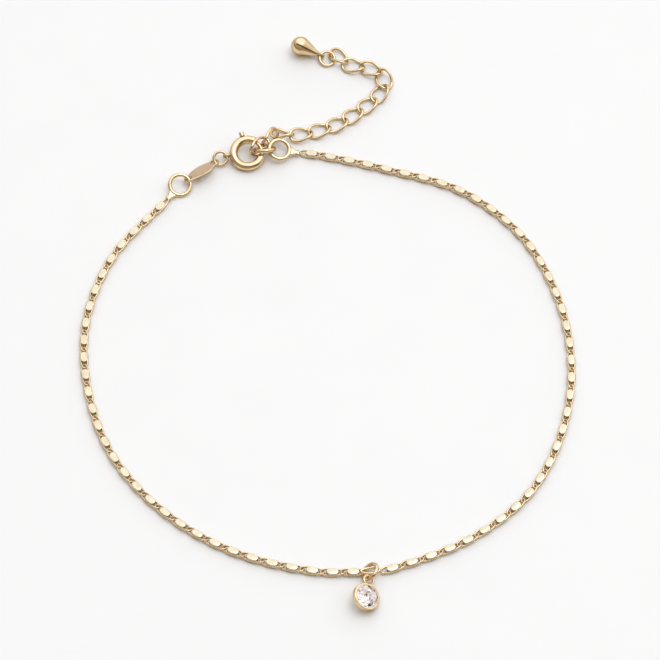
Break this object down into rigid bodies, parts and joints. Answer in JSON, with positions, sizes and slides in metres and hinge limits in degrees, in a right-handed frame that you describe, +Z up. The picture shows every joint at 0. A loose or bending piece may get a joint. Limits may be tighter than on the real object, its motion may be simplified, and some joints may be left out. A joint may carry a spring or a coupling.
{
  "type": "charm anklet",
  "caption": "Mirror chain anklet lying closed on a surface: spring ring clasp, blank name tag, curb extender ending in a teardrop, and a round stone pendant set in a bezel.",
  "frame": {"origin": "middle of the box round the whole lay, at the surface it lies on", "axes": "+Z up from the surface, -Y towards the viewer and the pendant, +X to the viewer's right"},
  "size_m": [0.074, 0.0991, 0.003],
  "materials": {
    "gold": "pale yellow gold, polished",
    "satin_gold": "pale yellow gold, fine satin",
    "stone": "clear faceted stone"
  },
  "bodies": {
    "anklet": {"chain_right": "gold", "chain_left": "gold", "pendant_link": "gold", "left_end_ring": "gold", "right_end_ring": "gold", "tag": "satin_gold", "tag_ring": "gold", "hook_ring": "gold", "drop_ring": "gold", "pendant_ring": "gold", "clasp_body": "gold", "extender_link_01": "gold", "extender_link_02": "gold", "extender_link_03": "gold", "extender_link_04": "gold", "extender_link_05": "gold", "extender_link_06": "gold", "extender_link_07": "gold", "extender_link_08": "gold", "extender_link_09": "gold", "extender_link_10": "gold", "extender_link_11": "gold", "extender_link_12": "gold", "extender_link_13": "gold", "teardrop": "gold", "bezel": "gold", "stone": "stone"},
    "bolt": {"clasp_bolt": "gold"}
  },
  "joints": [
    {"name": "bolt_turn", "type": "hinge", "parent": "anklet", "child": "bolt", "pos_m": [-0.01227, 0.0283, 0.00116], "axis": [0, -0.225, 0.9744], "range_deg": [0, 60], "stiffness_Nm_per_rad": 0.002}
  ]
}
